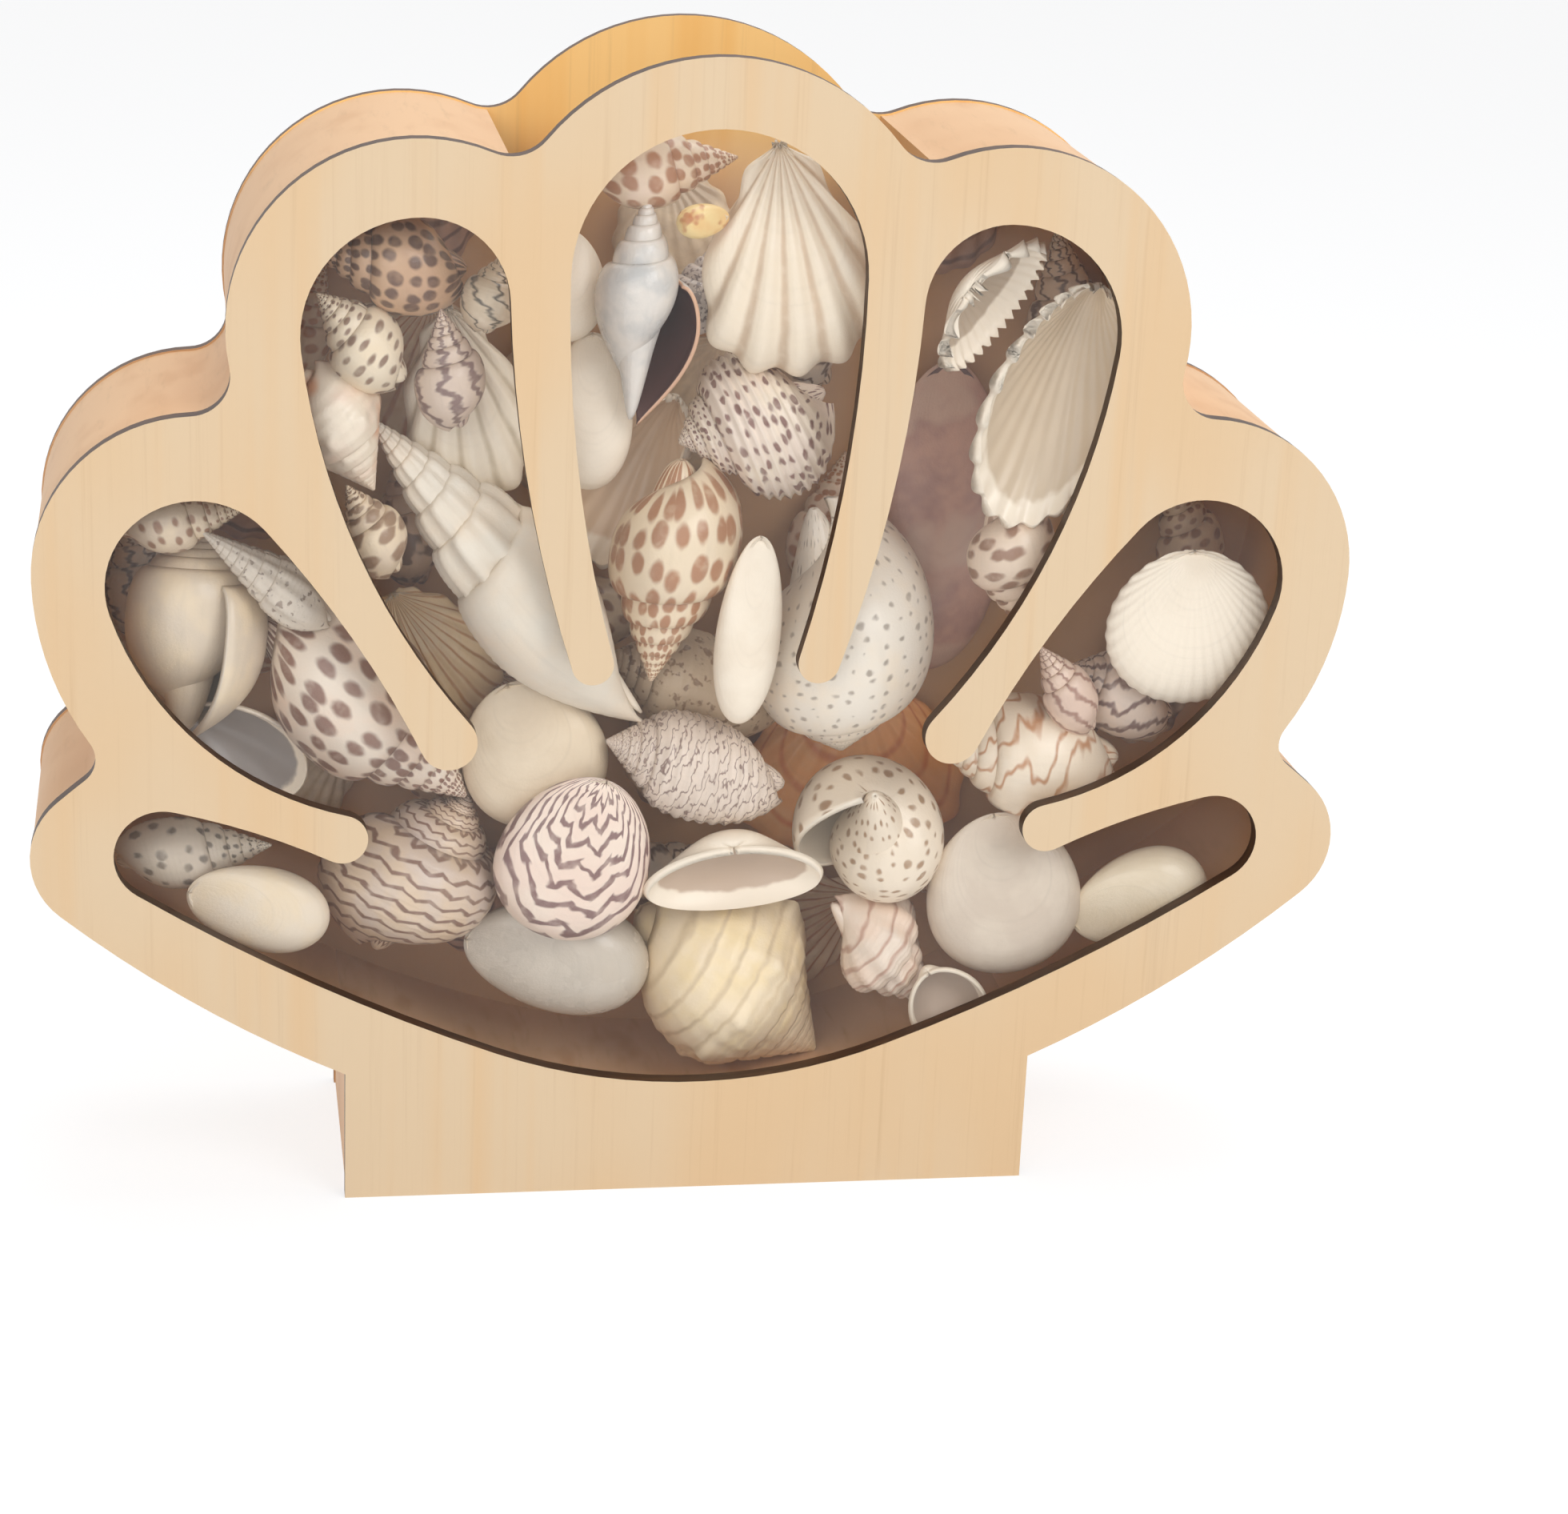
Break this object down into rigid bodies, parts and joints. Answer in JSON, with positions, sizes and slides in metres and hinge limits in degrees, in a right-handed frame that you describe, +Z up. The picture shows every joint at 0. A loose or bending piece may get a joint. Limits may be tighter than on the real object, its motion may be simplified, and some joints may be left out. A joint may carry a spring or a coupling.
{
  "type": "seashell display case",
  "caption": "Free-standing scallop-shaped wooden display case with petal windows in front, a clear sheet behind them and an open top slot, filled with seashells.",
  "frame": {"origin": "middle of the foot's footprint, on the surface that the case stands on", "axes": "+X to the viewer's right, -Y towards the viewer, +Z up"},
  "size_m": [0.304, 0.068, 0.2685],
  "materials": {
    "panel_wood": "sanded ply, matt, with scorched cut edges",
    "band_wood": "thin bent wood, matt",
    "window_acrylic": "clear and polished",
    "shell_spotted": "satin, cream with brown spots",
    "shell_grey": "satin, pale grey",
    "shell_rosy": "satin, cream with pink bands",
    "shell_purple": "satin, purple brown on cream",
    "shell_orange": "matt, orange",
    "shell_white": "satin, chalk white",
    "shell_cream": "satin, cream"
  },
  "bodies": {
    "root": {"back_panel": "panel_wood", "banded_snail": "shell_purple", "broken_valve": "shell_grey", "brown_cone_behind": "shell_spotted", "brown_snail_large": "shell_spotted", "brown_snail_small": "shell_spotted", "clams_behind": "shell_cream", "clear_window": "window_acrylic", "cream_clam_ear": "shell_cream", "cream_whelk": "shell_cream", "crenulated_valve": "shell_white", "crescent_valve": "shell_white", "crimped_valve": "shell_white", "dark_snail": "shell_spotted", "dotted_snail": "shell_spotted", "end_on_snail": "shell_spotted", "flame_snail": "shell_spotted", "floor_strip": "band_wood", "front_panel": "panel_wood", "glassy_valve": "shell_grey", "grey_cerith": "shell_grey", "grey_clam": "shell_grey", "grey_cockle": "shell_grey", "grey_snail_ear": "shell_grey", "grey_whelk": "shell_grey", "inside_valve": "shell_cream", "knobby_whelk": "shell_cream", "left_foot_wall": "band_wood", "left_side_band": "band_wood", "long_spindle": "shell_white", "mauve_snail_small": "shell_grey", "moon_shell": "shell_white", "orange_scallop": "shell_orange", "orange_tip_snail": "shell_spotted", "oval_cream_clam": "shell_cream", "pink_snail_small": "shell_rosy", "purple_clam": "shell_purple", "purple_cone": "shell_purple", "right_foot_wall": "band_wood", "right_side_band": "band_wood", "rosy_whelk": "shell_rosy", "rosy_whelk_small": "shell_rosy", "round_cream_clam": "shell_cream", "serrated_valve": "shell_white", "smooth_grey_clam": "shell_grey", "snails_behind": "shell_spotted", "speckled_cone": "shell_rosy", "speckled_turban": "shell_spotted", "spotted_snail_side": "shell_spotted", "spotted_snail_top": "shell_spotted", "striped_cone": "shell_spotted", "striped_snail_middle": "shell_spotted", "striped_turban": "shell_spotted", "tall_cockle": "shell_cream", "tan_cockle": "shell_cream", "white_clam_behind_bar": "shell_white", "white_clam_tall": "shell_white", "white_disc": "shell_white", "yellow_clam_small": "shell_orange", "zigzag_clam": "shell_purple"}
  },
  "joints": []
}
